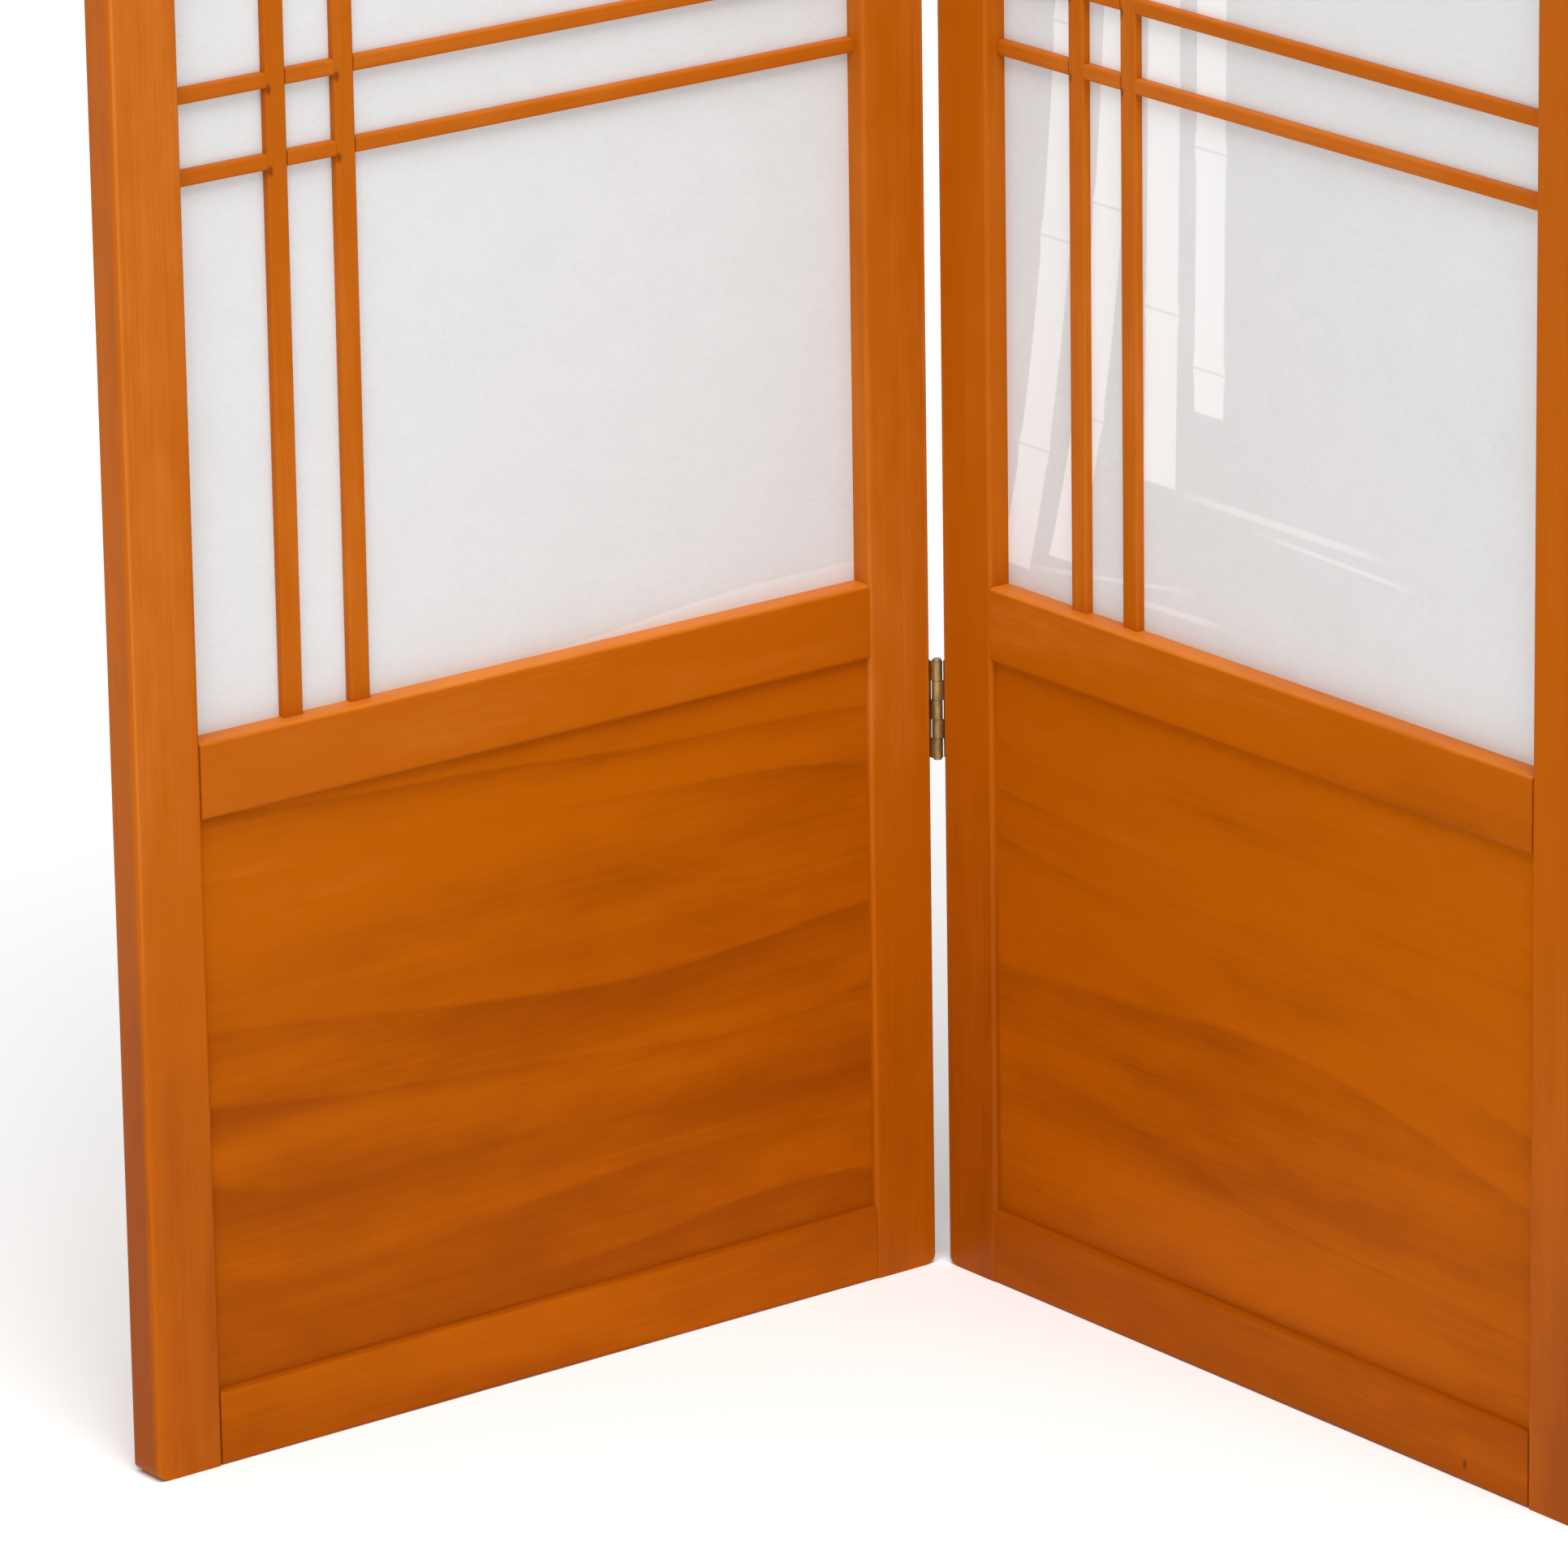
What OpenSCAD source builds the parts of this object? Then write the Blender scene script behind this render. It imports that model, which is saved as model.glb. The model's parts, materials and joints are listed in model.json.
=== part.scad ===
// Folding shoji screen, pair of hinged panels.
// Millimetres, +Z up. The floor is z = 0 and the X axis runs across the pair.
// The hinge line stands at x = 0; both panels open towards -Y, the front.
// Panel frame of reference: p runs from a panel's left edge (0) to its right edge
// (panel_w) as seen from the front, y from its front face (0) to its back, z up.

/* [Panel] */
// Width of one panel, edge to edge
panel_w = 438; // [340:1:600]
// Height of the panels
panel_h = 1784; // [1200:1:2100]
// Thickness of stiles and rails, front to back
frame_t = 19; // [18:0.5:30]
// Angle between the two front faces as the screen stands
opening = 90; // [50:1:160]

/* [Frame] */
// Width of a stile, seen from the front
stile_w = 35; // [26:1:60]
// Height of the bottom rail
bottom_rail_h = 35; // [30:1:90]
// Height of the middle rail
middle_rail_h = 35; // [32:1:90]
// Height of the top rail
top_rail_h = 35; // [30:1:90]
// Height of the middle rail's lower edge above the floor
middle_rail_z = 299; // [200:1:440]
// Radius on the long edges of the frame
arris_r = 2; // [0.5:0.25:3]
// Radius of a stile's outer corners at foot and head
corner_r = 7; // [3:0.5:12]

/* [Kick board] */
// Thickness of the kick board
board_t = 12; // [6:0.5:12]
// Distance from the frame's front face back to the kick board
board_setback = 3.5; // [2.5:0.25:6]
// Depth of the groove that holds the kick board
groove_d = 6; // [4:0.5:8]
// Expansion gap at the bottom of the groove
board_gap = 0.5; // [0.2:0.1:1.5]

/* [Paper window] */
// Thickness of the laminated paper sheet
paper_t = 0.4; // [0.3:0.1:1.5]
// Distance from the frame's front face back to the paper
paper_setback = 11; // [9:0.5:12]
// Width of the rabbet that the paper lies in
rabbet_w = 6; // [4:0.5:8]
// Gap between the edge of the paper and the rabbet's wall
paper_gap = 0.5; // [0.2:0.1:2]
// Width of the beads that hold the paper
bead_w = 8; // [6:0.5:12]
// Thickness of the beads
bead_t = 5.6; // [3:0.2:6]
// Rounding of the beads' edge beside the window
bead_r = 1.5; // [0.5:0.25:2.5]

/* [Lattice] */
// Width of an upright lattice bar
upright_w = 10.5; // [6:0.5:16]
// Height of a lattice crossbar
crossbar_h = 7; // [5:0.5:14]
// Thickness of the lattice bars, front to back
lattice_t = 4; // [3:0.5:6]
// Distance from a panel's left edge to its first upright bar
upright_p = 84.5; // [70:0.5:110]
// Centre distance of the two bars of a pair, uprights and crossbars alike
pair_pitch = 36; // [24:0.5:60]
// Distance from the middle rail's top up to the first crossbar
crossbar_rise = 246; // [120:1:330]
// Rounding of the bars' front edges
bar_r = 1.2; // [0.4:0.1:2]
// Length of the tenon at each end of a lattice bar
stub_l = 5; // [3:0.5:8]

/* [Dowels] */
// Diameter of the frame dowels
dowel_d = 6; // [4:0.5:7]
// Length of the frame dowels
dowel_l = 30; // [20:1:40]

/* [Hinges] */
// Height of a hinge
hinge_h = 46; // [40:1:70]
// Height of the lowest hinge's centre; the highest is as far from the top
hinge_z = 268; // [120:1:400]
// Outer diameter of the hinge knuckles
knuckle_d = 5; // [4.4:0.1:5.4]
// Diameter of the hinge pin
pin_d = 2.4; // [2:0.1:2.4]
// Thickness of the hinge leaves
leaf_t = 1.2; // [0.8:0.1:1.2]
// Depth of a hinge leaf along the stile's edge
leaf_w = 13; // [12:0.5:15]
// Distance from the hinge line to the edge of each stile
edge_gap = 2.9; // [2.9:0.1:4]
// Distance from the hinge line back to the front faces
face_gap = 0.9; // [0.5:0.1:1.5]
// Diameter of the hinge screws' shanks
screw_d = 2.6; // [2:0.1:3]
// Length of the hinge screws
screw_l = 14; // [8:1:20]

/* [Hidden] */
SIDES = ["left", "right"];
HINGES = ["low", "middle", "high"];

$fn = 48;
eps = 0.01;

// Frame
inner_w = panel_w - 2 * stile_w;
middle_top = middle_rail_z + middle_rail_h;
top_rail_z = panel_h - top_rail_h;
dowel_fit = 0.05;
dowel_end_gap = 0.5;
// Where the two dowels of a joint lie in a rail's sound wood, as shares of its height
dowel_shares = [0.25, 0.75];
// Sound wood of each rail, between its groove and its rabbet: [from z, to z]
rail_cores = [
  [0, bottom_rail_h - groove_d],
  [middle_rail_z + groove_d, middle_top - rabbet_w],
  [top_rail_z + rabbet_w, panel_h]
];
dowel_levels = [for (core = rail_cores) for (share = dowel_shares)
  core[0] + share * (core[1] - core[0])];

// Paper window and lattice
bar_y = paper_setback - lattice_t;
bead_y = paper_setback + paper_t;
tenon_gap = 0.5;
upright_ps = [upright_p, upright_p + pair_pitch];
window_mid_z = (middle_top + top_rail_z) / 2;
low_crossbar_zs = [middle_top + crossbar_rise, middle_top + crossbar_rise + pair_pitch];
crossbar_zs = concat(low_crossbar_zs,
  [for (z = low_crossbar_zs) 2 * window_mid_z - z - crossbar_h]);

// Hinges
hinge_zs = [hinge_z, panel_h / 2, panel_h - hinge_z];
knuckle_count = 5;
knuckle_pitch = hinge_h / knuckle_count;
knuckle_gap = 0.2;
pin_fit = 0.05;
swing_clear = 0.3;
pin_head_d = 4;
pin_head_h = 0.9;
leaf_x = edge_gap - leaf_t;
// The leaf starts just outside the circle that the other leaf's knuckles need
leaf_clear = 0.05;
leaf_y = sqrt(pow(knuckle_d / 2 + swing_clear, 2) - pow(leaf_x, 2)) + leaf_clear;
screw_y = leaf_y + leaf_w / 2;
// Height of a leaf's screws above and below its middle, as a share of the hinge's height
screw_rise_share = 0.3;
screw_rise = hinge_h * screw_rise_share;
screw_head_d = 5;
screw_head_h = leaf_t - 0.1;
screw_fit = 0.05;
screw_end_gap = 0.5;
slot_w = 0.7;
slot_d = 0.5;

// Standing place: the box round the open pair is centred on the Z axis
half = opening / 2;
back_reach = -(edge_gap + arris_r) * cos(half) + (face_gap + frame_t - arris_r) * sin(half)
  + arris_r;
front_reach = -(edge_gap + panel_w - arris_r) * cos(half) + (face_gap + arris_r) * sin(half)
  - arris_r;
hinge_line_y = -(back_reach + front_reach) / 2;

WOOD = [0.80, 0.44, 0.13];
BOARD = [0.76, 0.40, 0.11];
PAPER = [0.93, 0.93, 0.92];
BEECH = [0.87, 0.72, 0.52];
BRASS = [0.78, 0.63, 0.30];

// ---- placing ----

// Puts hinge coordinates (x along the panel from the hinge line, y back) in the open pair
module swung(side) {
  turn = 90 - half;
  translate([0, hinge_line_y, 0])
    rotate([0, 0, side == "left" ? turn : -turn])
      mirror([side == "left" ? 1 : 0, 0, 0])
        children();
}

// Puts panel coordinates (p, y, z) in the open pair
module in_panel(side) {
  swung(side)
    translate([edge_gap, face_gap, 0])
      if (side == "left")
        translate([panel_w, 0, 0]) mirror([1, 0, 0]) children();
      else
        children();
}

// Mirrors a left stile or left bead to the panel's right-hand side
module to_right_edge() {
  translate([panel_w, 0, 0]) mirror([1, 0, 0]) children();
}

// Box from its lowest corner to its highest corner
module block(a, b) {
  translate(a) cube(b - a);
}

// ---- profiles ----

// Rectangle w by t with all four corners rounded
module eased_section(w, t, r) {
  translate([r, 0]) square([w - 2 * r, t]);
  translate([0, r]) square([w, t - 2 * r]);
  for (x = [r, w - r]) for (y = [r, t - r]) translate([x, y]) circle(r);
}

// Lattice bar's section: only the two front corners are rounded
module bar_section(w, t, r) {
  translate([0, r]) square([w, t - r]);
  translate([r, 0]) square([w - 2 * r, t]);
  for (x = [r, w - r]) translate([x, r]) circle(r);
}

// Bead's section, with its far corner rounded
module bead_section(w, t) {
  square([w - bead_r, t]);
  square([w, t - bead_r]);
  translate([w - bead_r, t - bead_r]) circle(bead_r);
}

// Front view of a left stile, with its outer corners rounded
module stile_outline() {
  translate([corner_r, 0]) square([stile_w - corner_r, panel_h]);
  translate([0, corner_r]) square([stile_w, panel_h - 2 * corner_r]);
  for (z = [corner_r, panel_h - corner_r]) translate([corner_r, z]) circle(corner_r);
}

// ---- cuts shared by the frame members ----

module dowel_bore(p, z, extra) {
  translate([p, frame_t / 2, z]) rotate([0, 90, 0])
    cylinder(d = dowel_d + 2 * dowel_fit, h = dowel_l + extra, center = true);
}

module dowel_bores(p) {
  for (z = dowel_levels) dowel_bore(p, z, 2 * dowel_end_gap);
}

module kick_board_groove() {
  block([stile_w - groove_d, board_setback, bottom_rail_h - groove_d],
    [panel_w - stile_w + groove_d, board_setback + board_t, middle_rail_z + groove_d]);
}

module paper_rabbet() {
  block([stile_w - rabbet_w, paper_setback, middle_top - rabbet_w],
    [panel_w - stile_w + rabbet_w, frame_t + 1, top_rail_z + rabbet_w]);
}

module upright_mortises() {
  for (p = upright_ps)
    block([p, bar_y, middle_top - stub_l - tenon_gap],
      [p + upright_w, paper_setback, top_rail_z + stub_l + tenon_gap]);
}

module crossbar_mortises() {
  for (z = crossbar_zs)
    block([stile_w - stub_l - tenon_gap, bar_y, z],
      [panel_w - stile_w + stub_l + tenon_gap, paper_setback, z + crossbar_h]);
}

// Pilot holes for the hinge screws, in panel coordinates of a left stile
module screw_pilots() {
  for (z = hinge_zs) for (s = [-1, 1])
    translate([-eps, screw_y - face_gap, z + s * screw_rise]) rotate([0, 90, 0])
      cylinder(d = screw_d + 2 * screw_fit, h = screw_l + screw_end_gap + eps);
}

// ---- frame members ----

// A stile stands at the left edge of a panel; it is mirrored for the right edge
module stile(hinged) {
  difference() {
    intersection() {
      linear_extrude(panel_h) eased_section(stile_w, frame_t, arris_r);
      translate([0, frame_t + 1, 0]) rotate([90, 0, 0])
        linear_extrude(frame_t + 2) stile_outline();
    }
    kick_board_groove();
    paper_rabbet();
    crossbar_mortises();
    dowel_bores(stile_w);
    if (hinged) screw_pilots();
  }
}

module rail(z, h) {
  difference() {
    translate([stile_w, 0, z]) rotate([90, 0, 90])
      linear_extrude(inner_w) eased_section(frame_t, h, arris_r);
    kick_board_groove();
    paper_rabbet();
    upright_mortises();
    for (p = [stile_w, panel_w - stile_w]) dowel_bores(p);
  }
}

// True where this edge of the panel carries the hinges
function is_hinge_edge(side, right_edge) = (side == "left") == right_edge;

module stile_at(side, right_edge) {
  color(WOOD) in_panel(side)
    if (right_edge) to_right_edge() stile(is_hinge_edge(side, right_edge));
    else stile(is_hinge_edge(side, right_edge));
}

module outer_stile(side) { stile_at(side, side == "right"); }
module hinge_stile(side) { stile_at(side, side == "left"); }
module bottom_rail(side) { color(WOOD) in_panel(side) rail(0, bottom_rail_h); }
module middle_rail(side) { color(WOOD) in_panel(side) rail(middle_rail_z, middle_rail_h); }
module top_rail(side) { color(WOOD) in_panel(side) rail(top_rail_z, top_rail_h); }

module kick_board(side) {
  hold = groove_d - board_gap;
  color(BOARD) in_panel(side)
    block([stile_w - hold, board_setback, bottom_rail_h - hold],
      [panel_w - stile_w + hold, board_setback + board_t, middle_rail_z + hold]);
}

module frame_dowels(side) {
  color(BEECH) in_panel(side)
    for (p = [stile_w, panel_w - stile_w]) for (z = dowel_levels)
      translate([p, frame_t / 2, z]) rotate([0, 90, 0])
        cylinder(d = dowel_d, h = dowel_l, center = true);
}

// ---- paper, beads and lattice ----

module paper_sheet(side) {
  hold = rabbet_w - paper_gap;
  color(PAPER) in_panel(side)
    block([stile_w - hold, paper_setback, middle_top - hold],
      [panel_w - stile_w + hold, paper_setback + paper_t, top_rail_z + hold]);
}

module upright_bead() {
  from_z = middle_top - rabbet_w;
  translate([stile_w - rabbet_w, bead_y, from_z])
    linear_extrude(top_rail_z + rabbet_w - from_z) bead_section(bead_w, bead_t);
}

module bead_at(side, right_edge) {
  color(WOOD) in_panel(side)
    if (right_edge) to_right_edge() upright_bead();
    else upright_bead();
}

module bead_outer(side) { bead_at(side, side == "right"); }
module bead_hinge(side) { bead_at(side, side == "left"); }

// Level bead between the upright ones, from height z upwards
module level_bead(z) {
  from_p = stile_w - rabbet_w + bead_w;
  translate([from_p, bead_y, z]) rotate([90, 0, 90])
    linear_extrude(panel_w - 2 * from_p) bead_section(bead_t, bead_w);
}

module bead_bottom(side) { color(WOOD) in_panel(side) level_bead(middle_top - rabbet_w); }

// The top bead is the bottom one's shape turned over
module bead_top(side) {
  color(WOOD) in_panel(side)
    translate([0, 0, top_rail_z + rabbet_w]) mirror([0, 0, 1]) level_bead(0);
}

// Upright bar: whole in front, halved at the back where the crossbars pass
module lattice_upright(side, i) {
  p = upright_ps[i];
  from_z = middle_top - stub_l;
  color(WOOD) in_panel(side) difference() {
    translate([p, bar_y, from_z])
      linear_extrude(top_rail_z + stub_l - from_z) bar_section(upright_w, lattice_t, bar_r);
    for (z = crossbar_zs)
      block([p - 1, bar_y + lattice_t / 2, z], [p + upright_w + 1, paper_setback + 1, z + crossbar_h]);
  }
}

// Crossbar: whole at the back, halved in front where the uprights pass
module lattice_crossbar(side, i) {
  z = crossbar_zs[i];
  from_p = stile_w - stub_l;
  color(WOOD) in_panel(side) difference() {
    translate([from_p, bar_y, z + crossbar_h]) rotate([0, 90, 0])
      linear_extrude(panel_w - 2 * from_p) bar_section(crossbar_h, lattice_t, bar_r);
    for (p = upright_ps)
      block([p, bar_y - 1, z - 1], [p + upright_w, bar_y + lattice_t / 2, z + crossbar_h + 1]);
  }
}

// ---- hinges, in hinge coordinates ----

module screw_spots(z) {
  for (s = [-1, 1]) translate([leaf_x, screw_y, z + s * screw_rise]) rotate([0, 90, 0]) children();
}

module screw_body(fit) {
  cylinder(d1 = screw_head_d + 2 * fit, d2 = screw_d + 2 * fit, h = screw_head_h);
  cylinder(d = screw_d + 2 * fit, h = screw_l);
}

// Leaf with the knuckles whose numbers are given, counted from the bottom
module hinge_leaf(z, knuckles) {
  low = z - hinge_h / 2;
  difference() {
    union() {
      block([leaf_x, leaf_y, low], [edge_gap, leaf_y + leaf_w, low + hinge_h]);
      for (k = knuckles) {
        from_z = low + k * knuckle_pitch + (k == 0 ? 0 : knuckle_gap / 2);
        to_z = low + (k + 1) * knuckle_pitch - (k == knuckle_count - 1 ? 0 : knuckle_gap / 2);
        translate([0, 0, from_z]) cylinder(d = knuckle_d, h = to_z - from_z);
        block([leaf_x, 0, from_z], [edge_gap, leaf_y + 1, to_z]);
      }
    }
    translate([0, 0, low - 1]) cylinder(d = pin_d + 2 * pin_fit, h = hinge_h + 2);
    screw_spots(z) screw_body(screw_fit);
  }
}

module hinge_left_leaf(i) {
  color(BRASS) swung("left") hinge_leaf(hinge_zs[i], [0, 2, 4]);
}

module hinge_right_leaf(i) {
  color(BRASS) swung("right") hinge_leaf(hinge_zs[i], [1, 3]);
}

// Pin with a button head at each end; it stays in the left leaf
module hinge_pin(i) {
  low = hinge_zs[i] - hinge_h / 2;
  color(BRASS) swung("left") {
    translate([0, 0, low]) cylinder(d = pin_d, h = hinge_h);
    for (z = [low - pin_head_h, low + hinge_h])
      translate([0, 0, z]) cylinder(d = pin_head_d, h = pin_head_h);
  }
}

module hinge_screws(side) {
  color(BRASS) swung(side)
    for (z = hinge_zs) screw_spots(z) difference() {
      screw_body(0);
      translate([-slot_w / 2, -screw_head_d, -1]) cube([slot_w, 2 * screw_head_d, slot_d + 1]);
    }
}

// ---- the pair ----

for (side = SIDES) {
  outer_stile(side);
  hinge_stile(side);
  bottom_rail(side);
  middle_rail(side);
  top_rail(side);
  kick_board(side);
  paper_sheet(side);
  for (i = [0:1])
    lattice_upright(side, i);
  for (i = [0:3])
    lattice_crossbar(side, i);
  bead_outer(side);
  bead_hinge(side);
  bead_bottom(side);
  bead_top(side);
  frame_dowels(side);
  hinge_screws(side);
}
for (i = [0:2]) {
  hinge_left_leaf(i);
  hinge_right_leaf(i);
  hinge_pin(i);
}
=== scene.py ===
"""A folding screen of two hinged shoji panels: materials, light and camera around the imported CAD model."""

import json
import math

import bmesh
import bpy
from mathutils import Matrix, Vector


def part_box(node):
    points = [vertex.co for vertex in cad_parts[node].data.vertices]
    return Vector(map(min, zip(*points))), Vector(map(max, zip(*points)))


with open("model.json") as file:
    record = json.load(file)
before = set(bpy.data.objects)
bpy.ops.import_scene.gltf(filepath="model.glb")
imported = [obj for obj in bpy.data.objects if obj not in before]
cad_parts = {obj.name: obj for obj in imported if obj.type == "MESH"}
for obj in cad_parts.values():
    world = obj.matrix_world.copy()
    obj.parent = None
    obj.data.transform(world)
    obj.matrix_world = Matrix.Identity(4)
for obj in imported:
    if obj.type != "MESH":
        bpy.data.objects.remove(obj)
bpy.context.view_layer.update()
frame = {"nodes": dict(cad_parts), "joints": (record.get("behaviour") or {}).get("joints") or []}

MM = 0.001
HINGE_LINE = Vector(frame["joints"][0]["pos_m"])
HALF_ANGLE = math.radians(45)  # each panel stands this far back from the plane across the screen's front
PANEL_W = 438 * MM
EDGE_GAP = 2.9 * MM  # from the hinge line to a panel's edge
FACE_GAP = 0.9 * MM  # from the hinge line to a panel's front face
UPRIGHT_EDGES = (84.5 * MM, 120.5 * MM)  # left edges of the two uprights, from the panel's left edge
UPRIGHT_W = 10.5 * MM
CROSSBAR_EDGES = (580 * MM, 616 * MM, 1460 * MM, 1496 * MM)  # lower edges of the four crossbars
CROSSBAR_H = 7 * MM


# ---------------------------------------------------------------- node trees


class Shader:
    """One material's node tree. Each method that adds a node returns its output socket."""

    def __init__(self, name):
        self.material = bpy.data.materials.new(name)
        self.material.use_nodes = True
        self.tree = self.material.node_tree
        self.surface = self.tree.nodes["Principled BSDF"]

    def set(self, socket, value):
        if isinstance(value, bpy.types.NodeSocket):
            self.tree.links.new(value, socket)
        else:
            socket.default_value = value

    def principled(self, **values):
        for name, value in values.items():
            self.set(self.surface.inputs[name.replace("_", " ")], value)

    def math(self, operation, *values):
        node = self.tree.nodes.new("ShaderNodeMath")
        node.operation = operation
        for socket, value in zip(node.inputs, values):
            self.set(socket, value)
        return node.outputs[0]

    def add(self, *values):
        total = values[0]
        for value in values[1:]:
            total = self.math("ADD", total, value)
        return total

    def times(self, *values):
        product = values[0]
        for value in values[1:]:
            product = self.math("MULTIPLY", product, value)
        return product

    def minus(self, value, less):
        return self.math("SUBTRACT", value, less)

    def gap(self, value, other):
        """How far apart two values are."""
        return self.math("ABSOLUTE", self.minus(value, other))

    def swing(self, noise, width):
        """Noise of 0..1 made to swing about zero, over that width."""
        return self.times(self.minus(noise, 0.5), width)

    def span(self, value, low, high, to_low=0.0, to_high=1.0):
        """The value carried smoothly from low..high to to_low..to_high, and held outside them."""
        node = self.tree.nodes.new("ShaderNodeMapRange")
        node.interpolation_type = "SMOOTHSTEP"
        for socket, number in zip(node.inputs, (value, low, high, to_low, to_high)):
            self.set(socket, number)
        return node.outputs[0]

    def mix(self, share, colour_a, colour_b):
        node = self.tree.nodes.new("ShaderNodeMix")
        node.data_type = "RGBA"
        self.set(node.inputs["Factor"], share)
        for socket, colour in ((node.inputs[6], colour_a), (node.inputs[7], colour_b)):
            self.set(socket, colour if isinstance(colour, bpy.types.NodeSocket) else (*colour, 1))
        return node.outputs[2]

    def mapped(self, vector, move=(0, 0, 0), turn=(0, 0, 0), scale=(1, 1, 1)):
        node = self.tree.nodes.new("ShaderNodeMapping")
        self.set(node.inputs["Vector"], vector)
        node.inputs["Location"].default_value = move
        node.inputs["Rotation"].default_value = turn
        node.inputs["Scale"].default_value = scale
        return node.outputs[0]

    def noise(self, vector, detail=2.0, roughness=0.5, distortion=0.0):
        """Smooth noise of about 0..1, one cell to each unit of the vector."""
        node = self.tree.nodes.new("ShaderNodeTexNoise")
        self.set(node.inputs["Vector"], vector)
        node.inputs["Scale"].default_value = 1.0
        node.inputs["Detail"].default_value = detail
        node.inputs["Roughness"].default_value = roughness
        node.inputs["Distortion"].default_value = distortion
        return node.outputs[0]

    def bump(self, height, depth, strength):
        """A normal from a height of 0..1 that is depth metres deep."""
        node = self.tree.nodes.new("ShaderNodeBump")
        node.inputs["Strength"].default_value = strength
        node.inputs["Distance"].default_value = depth
        self.set(node.inputs["Height"], height)
        return node.outputs[0]

    def parts(self, vector):
        node = self.tree.nodes.new("ShaderNodeSeparateXYZ")
        self.set(node.inputs[0], vector)
        return node.outputs

    def object_space(self):
        return self.tree.nodes.new("ShaderNodeTexCoord").outputs["Object"]

    def panel_space(self, side):
        """Metres from a panel's left edge, from its front face and from the floor."""
        turn = -HALF_ANGLE if side == "left" else HALF_ANGLE
        start = EDGE_GAP + PANEL_W if side == "left" else -EDGE_GAP
        move = Vector((start, -FACE_GAP, 0)) - Matrix.Rotation(turn, 3, "Z") @ Vector((*HINGE_LINE.xy, 0))
        return self.mapped(self.object_space(), move=move, turn=(0, 0, turn))


# ---------------------------------------------------------------- wood

# The wood's level sets its colour: deep at 0, honey at 0.5 and pale at 1.
DEEP, HONEY, PALE = (0.300, 0.060, 0.001), (0.460, 0.104, 0.001), (0.630, 0.192, 0.026)
MIDDLE_LEVEL = 0.5
CLOUD_SWING, MOTTLE_SWING, STREAK_SWING, PORE_DROP = 0.55, 0.20, 0.22, 0.05
FOOT_SHADE_LEVEL, UPPER_LIGHT_LEVEL = -0.30, 0.08  # painted shade added at the floor, and painted light added from this height up
UPPER_HEIGHT = 0.45
SIDE_FACE_SHADE_LEVEL, ARRIS_HIGHLIGHT_LEVEL = -0.32, 0.20  # painted shade added on a panel's side faces, and a painted highlight along its outer front edges
BAND_PITCH, BAND_WANDER = 34 * MM, 3.4  # growth bands, and how many pitches they wander
DARK_JOINT = (0.13, 0.022, 0.001)
JOINT_COVER, JOINT_SQUASH = 0.75, 0.35
LACQUER_SPECULAR, LACQUER_COAT = 0.055, 0.02


def grain_scale(grain, across, along):
    """Mapping scales for a pattern of these sizes, across and along a grain that runs up or across."""
    if grain == "up":
        return (1 / across, 1 / across, 1 / along)
    return (1 / along, 1 / across, 1 / across)


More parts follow.
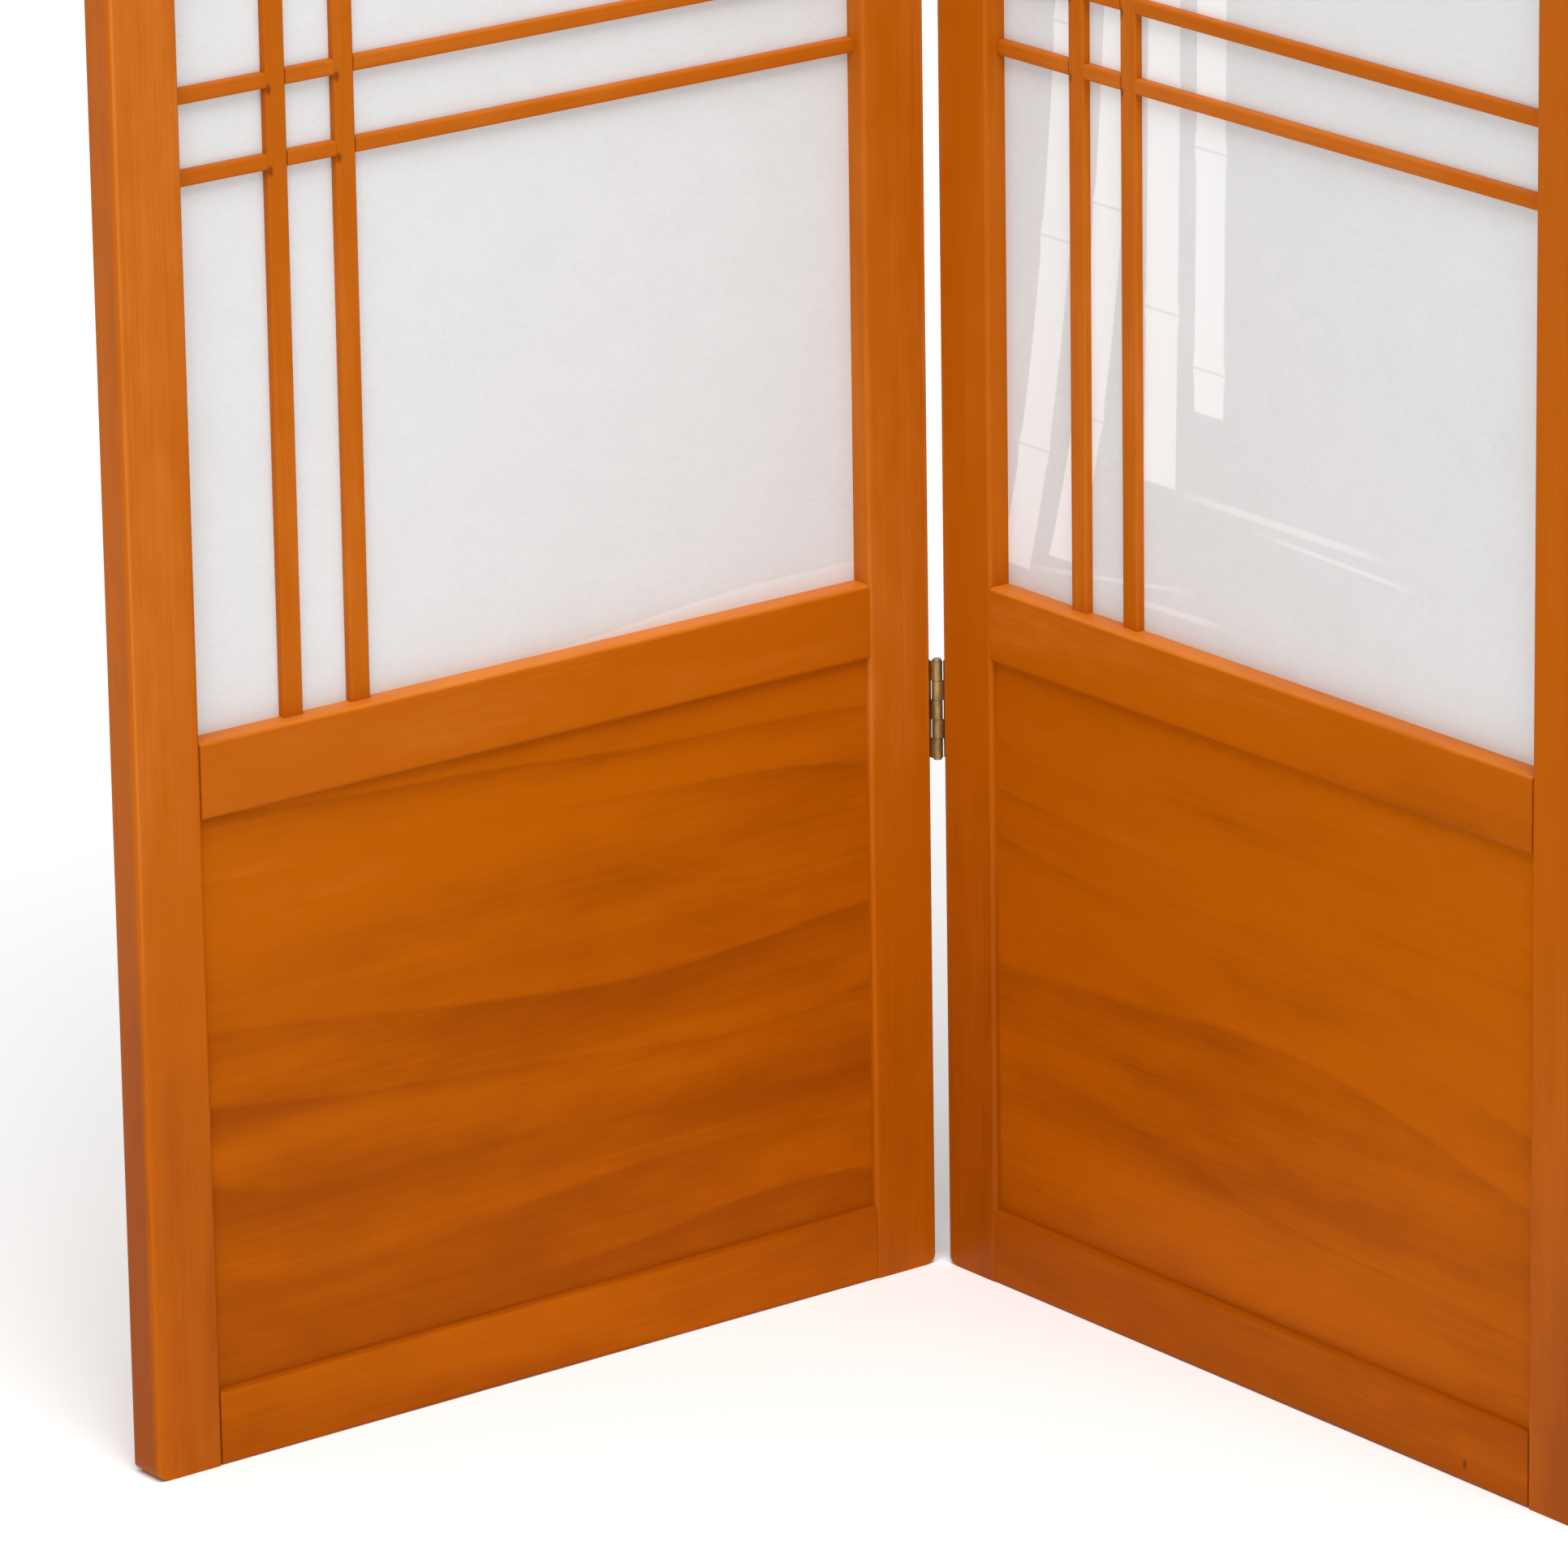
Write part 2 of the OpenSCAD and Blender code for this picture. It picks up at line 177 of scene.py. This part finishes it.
def wood(name, side, grain, seed, tone=0.0, figure=0.0, tilt=0.0, top=(0.0, 0.0), gloss=1.0, dots=()):
    """Satin amber lacquer on wood whose grain runs up or across.

    Tone is added to the level. Figure is the strength of broad growth bands, as on a board sawn flat,
    and tilt their fall to the right. Top is the height of the piece's upper face, and the painted highlight
    (above zero) or painted shade (below zero) added to the level of that face and its edge. Dots are
    (across, up) places of small dark joints, in metres.
    """
    s = Shader(name)
    place = s.panel_space(side)
    shift = (seed * 1.37 % 7, seed * 2.11 % 5, seed * 3.77 % 11)

    def layer(across, along, **how):
        return s.noise(s.mapped(place, move=shift, scale=grain_scale(grain, across, along)), **how)

    clouds = layer(0.035, 0.30, detail=1.0)
    mottle = layer(0.011, 0.035, detail=1.0)
    streaks = layer(0.0016, 0.11, detail=2.0, roughness=0.6)
    pores = s.span(layer(0.0005, 0.009, detail=0.0), 0.68, 0.80)
    across, into, up = s.parts(place)
    from_edge = s.math("MINIMUM", across, s.minus(PANEL_W, across))
    from_arris = s.add(from_edge, s.math("ABSOLUTE", into))

    level = s.add(
        MIDDLE_LEVEL + tone,
        s.swing(clouds, CLOUD_SWING),
        s.swing(mottle, MOTTLE_SWING),
        s.swing(streaks, STREAK_SWING),
        # painted shade towards the foot and painted light higher up
        s.span(up, 0.0, UPPER_HEIGHT, FOOT_SHADE_LEVEL, UPPER_LIGHT_LEVEL),
        # painted shade on the side faces
        s.span(from_edge, 0.0004, 0.0016, SIDE_FACE_SHADE_LEVEL, 0.0),
        # painted highlight along the outer front edges
        s.span(from_arris, 0.0010, 0.0034, ARRIS_HIGHLIGHT_LEVEL, 0.0),
    )
    top_height, top_light_shade_level = top
    if top_light_shade_level:
        # painted highlight on a lit upper face and painted shade on one in shadow, by the sign of the level
        level = s.add(level, s.span(s.gap(up, top_height), 0.0004, 0.0018, top_light_shade_level, 0.0))
    if figure:
        wander = s.swing(layer(0.10, 0.42, detail=1.0), BAND_WANDER)
        pitches = s.add(s.times(up, -1 / BAND_PITCH), s.times(across, -tilt / BAND_PITCH), wander)
        rings = s.math("FRACT", pitches)
        band = s.math("POWER", s.minus(1.0, rings), 2.0)
        sharp = s.span(rings, 0.0, 0.09)
        patchy = s.span(layer(0.07, 0.45, detail=1.0), 0.36, 0.66, 0.12, 1.0)
        level = s.minus(level, s.times(band, sharp, patchy, figure))
    level = s.minus(level, s.times(pores, PORE_DROP))
    dark_half = s.mix(s.span(level, 0.0, 0.5), DEEP, HONEY)
    colour = s.mix(s.span(level, 0.5, 1.0), dark_half, PALE)
    for dot_across, dot_up in dots:
        far = s.math("SQRT", s.add(
            s.math("POWER", s.minus(across, dot_across), 2.0),
            s.times(s.math("POWER", s.minus(up, dot_up), 2.0), JOINT_SQUASH),
        ))
        colour = s.mix(s.span(far, 0.0005, 0.0020, JOINT_COVER, 0.0), colour, DARK_JOINT)
    s.principled(
        Base_Color=colour,
        Roughness=s.span(s.add(s.times(mottle, 0.6), s.times(streaks, 0.4)), 0.25, 0.75, 0.30, 0.44),
        Specular_IOR_Level=LACQUER_SPECULAR * gloss,
        Coat_Weight=LACQUER_COAT * gloss,
        Coat_Roughness=0.22,
        Normal=s.bump(streaks, 0.00008, 0.6),
    )
    return s.material


# ---------------------------------------------------------------- paper

# The lengths of the print are in metres.
PAPER_SHADE, PAPER_TINT = 0.785, (0.990, 1.010, 1.018)
CLOUDY, PULPY, FIBROUS, BAR_SHADE_DROP = 0.045, 0.050, 0.018, 0.05  # how far each changes the paper's shade, the last being painted shade along the lattice bars
TRANSLUCENT = 0.12  # share of the light that the sheet scatters through
PRINT_COLOUR = (0.970, 0.995, 1.0)
SHEET_MIDDLE, BEHIND = (11.1 * MM, 11.3 * MM), 0.35  # depth at which the print fades, and what is left of it
SOFT_EDGE, SOFT_END = (-0.0003, 0.0005), (-0.0008, 0.0008)  # over which the print's outlines fade
STEMS = (  # foot, across at the foot, lean there, height over which it straightens, width and first ring
    (0.344, 0.040, 0.28, 0.20, 0.020, 0.402),
    (0.354, 0.074, 0.32, 0.16, 0.020, 0.424),
    (0.404, 0.142, 0.03, 0.30, 0.022, 0.484),
    (0.443, 0.176, 0.02, 0.40, 0.020, 0.463),
)
STEM_RIGHT = 0.90  # how much print is left at a stem's right edge
RING_PITCH, RING_SWELL = 0.100, 0.0010
RING_COVER = 0.35  # how much print is left in a ring's line
STROKES = (  # across, up, slope, half length and half width of a faint brush stroke
    (0.225, 0.403, 0.00, 0.085, 0.0024),
    (0.262, 0.395, -0.03, 0.060, 0.0015),
    (0.105, 0.352, 0.12, 0.070, 0.0015),
    (0.150, 0.347, 0.02, 0.045, 0.0022),
    (0.160, 0.325, -0.01, 0.080, 0.0060),
    (0.200, 1.362, 0.45, 0.036, 0.0011),
    (0.208, 1.132, 0.55, 0.030, 0.0011),
)
STROKE_COVER = 0.45
SPRAYS = ((0.228, 1.376), (0.236, 1.148))  # where leaves spring from, across and up
LEAF_TURNS = (12, -24, -58, -96)  # degrees
LEAF_L, LEAF_W, LEAF_COVER = 0.078, 0.0115, 0.85
MOUND = (0.20, 0.36, 0.333, 0.3425)  # where the low mound starts and is full, and its height at each
MOUND_COVER, BRIM_COVER = 0.30, 0.20


def stems_and_leaves(s, across, up):
    """How much of the white print lies at a place on the right sheet."""
    white = 0.0
    for foot, start, lean, settle, width, first_ring in STEMS:
        risen = s.minus(up, foot)
        settled = s.minus(1.0, s.math("EXPONENT", s.times(risen, -1 / settle)))
        aside = s.minus(across, s.add(start, s.times(settled, lean * settle)))
        pitches = s.times(s.minus(up, first_ring - RING_PITCH / 2), 1 / RING_PITCH)
        ring = s.gap(s.math("FRACT", pitches), 0.5)
        half = s.add(width / 2, s.span(ring, 0.0, 0.10, RING_SWELL, 0.0))
        body = s.times(
            s.span(s.minus(half, s.math("ABSOLUTE", aside)), *SOFT_EDGE),
            s.span(risen, *SOFT_END),
            s.span(aside, -width / 2, width / 2, 1.0, STEM_RIGHT),
            s.span(ring, 0.003, 0.009, RING_COVER, 1.0),
        )
        white = s.math("MAXIMUM", white, body)
    for start, rise, slope, half_length, half_width in STROKES:
        along = s.minus(across, start)
        line = s.minus(s.minus(up, rise), s.times(along, slope))
        body = s.times(
            s.span(s.math("ABSOLUTE", line), half_width * 0.4, half_width, STROKE_COVER, 0.0),
            s.span(s.math("ABSOLUTE", along), half_length * 0.4, half_length, 1.0, 0.0),
        )
        white = s.math("MAXIMUM", white, body)
    for spray_across, spray_up in SPRAYS:
        for turn in LEAF_TURNS:
            angle = math.radians(turn)
            cos, sin = math.cos(angle), math.sin(angle)
            x = s.minus(across, spray_across + cos * LEAF_L / 2)
            z = s.minus(up, spray_up + sin * LEAF_L / 2)
            along = s.times(s.add(s.times(x, cos), s.times(z, sin)), 2 / LEAF_L)
            aside = s.times(s.math("ABSOLUTE", s.add(s.times(x, -sin), s.times(z, cos))), 2 / LEAF_W)
            body = s.span(s.minus(s.minus(1.0, s.times(along, along)), aside), 0.0, 0.14)
            white = s.math("MAXIMUM", white, s.times(body, LEAF_COVER))
    return white


def mound(s, across, up):
    """How much of the white print lies at a place on the left sheet."""
    below = s.minus(s.span(across, *MOUND), up)
    brim = s.span(s.math("ABSOLUTE", below), 0.0003, 0.0014, BRIM_COVER, 0.0)
    return s.add(s.span(below, *SOFT_END, 0.0, MOUND_COVER), brim)


def paper(name, side, seed):
    """Washi: a soft white sheet with long fibres pressed in it. The right sheet has a generic white print
    of bamboo stems on it, and the left one a low mound."""
    s = Shader(name)
    place = s.panel_space(side)
    across, into, up = s.parts(place)
    flat = s.mapped(place, move=(seed * 3.1, seed * 1.7, seed * 2.3))
    clouds = s.noise(s.mapped(flat, scale=(1 / 0.025, 1 / 0.025, 1 / 0.02)), detail=2.0, roughness=0.6)
    pulp = s.noise(s.mapped(flat, scale=(1 / 0.0022, 1 / 0.0022, 1 / 0.0022)), detail=1.0, roughness=0.7)

    def fibres(turn, size):
        laid = s.mapped(flat, turn=(0, turn, 0), scale=(1 / (size * 9), 1 / size, 1 / size))
        return s.span(s.gap(s.noise(laid, detail=0.0, distortion=0.8), 0.5), 0.0, 0.016, 1.0, 0.0)

    strands = s.math("MAXIMUM", fibres(0.5, 0.0032), fibres(2.1, 0.0041))
    shade = s.add(PAPER_SHADE, s.swing(clouds, CLOUDY), s.swing(pulp, PULPY), s.times(strands, -FIBROUS))
    white = stems_and_leaves(s, across, up) if side == "right" else mound(s, across, up)
    # painted shade of the lattice bars: shadow lines beside them on the front and their silhouettes behind
    # the sheet, also standing for paste marks
    bar_shade_mask = 0.0
    for edges, size, across_or_up in ((UPRIGHT_EDGES, UPRIGHT_W, across), (CROSSBAR_EDGES, CROSSBAR_H, up)):
        for edge in edges:
            off = s.gap(across_or_up, edge + size / 2)
            bar_shade_mask = s.math("MAXIMUM", bar_shade_mask, s.span(off, size / 2 - MM, size / 2 + MM, 1.0, 0.0))
    shade = s.minus(shade, s.times(bar_shade_mask, BAR_SHADE_DROP))
    white = s.times(white, s.span(into, *SHEET_MIDDLE, 1.0, BEHIND))
    tint = s.tree.nodes.new("ShaderNodeCombineColor")
    for socket, share in zip(tint.inputs, PAPER_TINT):
        s.set(socket, s.times(shade, share))
    colour = s.mix(white, tint.outputs[0], PRINT_COLOUR)
    s.principled(
        Base_Color=colour,
        Roughness=s.span(white, 0.0, 1.0, 0.85, 0.62),
        Specular_IOR_Level=0.25,
        Normal=s.bump(pulp, 0.00008, 0.5),
    )
    glow = s.tree.nodes.new("ShaderNodeBsdfTranslucent")
    s.set(glow.inputs["Color"], colour)
    both = s.tree.nodes.new("ShaderNodeMixShader")
    both.inputs[0].default_value = TRANSLUCENT
    s.tree.links.new(s.surface.outputs[0], both.inputs[1])
    s.tree.links.new(glow.outputs[0], both.inputs[2])
    s.tree.links.new(both.outputs[0], s.tree.nodes["Material Output"].inputs["Surface"])
    return s.material


# ---------------------------------------------------------------- metal and dowels

DOWEL_DARK, DOWEL_LIGHT = (0.52, 0.33, 0.16), (0.66, 0.46, 0.26)


def metal(name, colour, tarnish, roughness):
    """Brass with darker tarnished patches and fine scratches that run up."""
    s = Shader(name)
    place = s.object_space()
    patches = s.noise(s.mapped(place, scale=(140, 140, 60)), detail=4.0, roughness=0.6)
    scratches = s.noise(s.mapped(place, scale=(2600, 2600, 160)), detail=2.0)
    s.principled(
        Base_Color=s.mix(s.span(patches, 0.38, 0.68), colour, tarnish),
        Metallic=1.0,
        Roughness=s.add(roughness, s.times(patches, 0.18), s.times(scratches, 0.10)),
        Normal=s.bump(scratches, 0.00003, 0.5),
    )
    return s.material


def dowel_wood(name, side, seed):
    """Bare pale wood with its grain across the panel."""
    s = Shader(name)
    grain = s.mapped(s.panel_space(side), move=(seed, 0, 0), scale=grain_scale("across", 0.0008, 0.02))
    streaks = s.noise(grain, detail=3.0)
    s.principled(
        Base_Color=s.mix(s.span(streaks, 0.3, 0.7), DOWEL_DARK, DOWEL_LIGHT),
        Roughness=s.span(streaks, 0.3, 0.7, 0.65, 0.8),
        Normal=s.bump(streaks, 0.00005, 0.5),
    )
    return s.material


# ---------------------------------------------------------------- which material each node gets

METALS = {  # colour, tarnish and roughness, by the end of a node's name
    "_screws": ((0.50, 0.36, 0.15), (0.30, 0.22, 0.10), 0.30),
    "_pin": ((0.48, 0.38, 0.20), (0.26, 0.20, 0.10), 0.22),
    "_leaf": ((0.47, 0.34, 0.14), (0.22, 0.16, 0.07), 0.34),
}
TONES = {
    "left_kick_board": -0.02,
    "right_kick_board": 0.06,
    "left_bottom_rail": 0.08,
    "right_bottom_rail": -0.08,
    "middle_rail": 0.02,
    "left_outer_stile": 0.08,
    "left_hinge_stile": 0.10,
    "right_hinge_stile": -0.03,
    "right_outer_stile": -0.05,
}
TOP_LIGHT_SHADE_LEVELS = {"middle_rail": 0.22, "bottom_rail": -0.35}  # painted highlight on the middle rail's upper face and painted shade on the bottom rail's, added to the level
LIES_ACROSS = ("rail", "kick_board", "crossbar", "bead_top", "bead_bottom")  # pieces whose grain runs across
DULLED, DULLED_GLOSS = ("kick_board", "bottom_rail"), 0.35  # pieces whose lacquer has lost more of its gloss
FIGURES = {"left": 0.26, "right": 0.20}  # of the kick boards
TILTS = {"left": 0.07, "right": 0.13}
NAIL_HOLE = (362 * MM, 8 * MM)  # in the right bottom rail
CORNER_JOINT = (1.3 * MM, -0.6 * MM)  # from an upright's left edge and from a crossbar's lower edge


def for_node(table, node):
    """The table's value for the first of its words that is in a node's name, or nothing added."""
    return next((value for word, value in table.items() if word in node), 0.0)


def finish_for(node, seed):
    """The material of one CAD node, from its name."""
    name = f"{node}_finish"
    for ending, look in METALS.items():
        if node.endswith(ending):
            return metal(name, *look)
    side = node.split("_")[0]
    if "paper_sheet" in node:
        return paper(name, side, seed)
    if "frame_dowels" in node:
        return dowel_wood(name, side, seed)
    dots = ()
    if "lattice_upright" in node:
        edge = UPRIGHT_EDGES[int(node[-1]) - 1]
        dots = [(edge + CORNER_JOINT[0], up + CORNER_JOINT[1]) for up in CROSSBAR_EDGES]
    if node == "right_bottom_rail":
        dots = [NAIL_HOLE]
    return wood(
        name,
        side,
        "across" if any(word in node for word in LIES_ACROSS) else "up",
        seed,
        tone=for_node(TONES, node),
        figure=FIGURES[side] if "kick_board" in node else 0.0,
        tilt=TILTS[side],
        top=(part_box(node)[1][2], for_node(TOP_LIGHT_SHADE_LEVELS, node)),
        gloss=DULLED_GLOSS if any(word in node for word in DULLED) else 1.0,
        dots=dots,
    )


for number, (node, shown) in enumerate(sorted(frame["nodes"].items())):
    finish = finish_for(node, number + 1)
    shown.data.materials.clear()
    shown.data.materials.append(finish)


# ---------------------------------------------------------------- floor, light and camera

FLOOR_R = 60.0
FLOOR_GREY, FLOOR_WHITE = (0.93, 0.93, 0.93), (0.95, 0.95, 0.945)
HORIZON, OVERHEAD = 1.0, 0.45  # strength of the studio's white light at eye level and above
HORIZON_END, OVERHEAD_START = 0.04, 0.45  # how far up the sky the light changes, 1 being straight above
KEY = {"azimuth": 10, "elevation": 64, "strength": 2.7, "spread": 40}
CAMERA_PLACE = (0.546, -4.555, 1.748)
YAW, PITCH, ROLL = -0.1304, 0.3096, -0.015  # radians
LENS, SENSOR = 250.0, 36.0
CLIP = (0.05, 200.0)


def floor():
    mesh = bpy.data.meshes.new("floor")
    shape = bmesh.new()
    bmesh.ops.create_circle(shape, cap_ends=True, segments=96, radius=FLOOR_R)
    shape.to_mesh(mesh)
    shape.free()
    piece = bpy.data.objects.new("floor", mesh)
    bpy.context.collection.objects.link(piece)
    s = Shader("floor_finish")
    wear = s.noise(s.mapped(s.object_space(), scale=(1.3, 1.3, 1.3)), detail=3.0)
    s.principled(
        Base_Color=s.mix(wear, FLOOR_GREY, FLOOR_WHITE),
        Roughness=s.span(wear, 0.3, 0.7, 0.78, 0.88),
        Specular_IOR_Level=0.1,
    )
    mesh.materials.append(s.material)


def sun(name, azimuth, elevation, strength, spread):
    """A soft sun from that azimuth, where 0 is in front of the screen and 90 at its right, in degrees."""
    data = bpy.data.lights.new(name, "SUN")
    data.energy, data.angle = strength, math.radians(spread)
    lamp = bpy.data.objects.new(name, data)
    a, e = math.radians(azimuth), math.radians(elevation)
    towards = Vector((math.sin(a) * math.cos(e), -math.cos(a) * math.cos(e), math.sin(e)))
    lamp.rotation_euler = towards.to_track_quat("Z", "Y").to_euler()
    bpy.context.collection.objects.link(lamp)


def studio():
    """A white room whose light fades upwards, and the key sun."""
    world = bpy.data.worlds.new("studio")
    world.use_nodes = True
    nodes, links = world.node_tree.nodes, world.node_tree.links
    height = nodes.new("ShaderNodeSeparateXYZ")
    links.new(nodes.new("ShaderNodeTexCoord").outputs["Generated"], height.inputs[0])
    fade = nodes.new("ShaderNodeMapRange")
    fade.interpolation_type = "SMOOTHSTEP"
    links.new(height.outputs[2], fade.inputs["Value"])
    for socket, number in zip(fade.inputs[1:5], (HORIZON_END, OVERHEAD_START, HORIZON, OVERHEAD)):
        socket.default_value = number
    links.new(fade.outputs[0], nodes["Background"].inputs["Strength"])
    nodes["Background"].inputs["Color"].default_value = (1.0, 1.0, 1.0, 1)
    bpy.context.scene.world = world
    sun("key", **KEY)


def camera():
    """A long lens in front of the screen and a little to its right, looking down at the lower part."""
    ahead = Vector((math.sin(YAW) * math.cos(PITCH), math.cos(YAW) * math.cos(PITCH), -math.sin(PITCH)))
    level = Vector((math.cos(YAW), -math.sin(YAW), 0))
    above = level.cross(ahead)
    right = level * math.cos(ROLL) + above * math.sin(ROLL)
    up = above * math.cos(ROLL) - level * math.sin(ROLL)
    data = bpy.data.cameras.new("camera")
    data.sensor_width, data.lens = SENSOR, LENS
    data.clip_start, data.clip_end = CLIP
    piece = bpy.data.objects.new("camera", data)
    bpy.context.collection.objects.link(piece)
    turn = Matrix((right, up, -ahead)).transposed()
    piece.matrix_world = Matrix.Translation(CAMERA_PLACE) @ turn.to_4x4()
    bpy.context.scene.camera = piece


floor()
studio()
camera()
bpy.context.scene.view_settings.view_transform = "Standard"
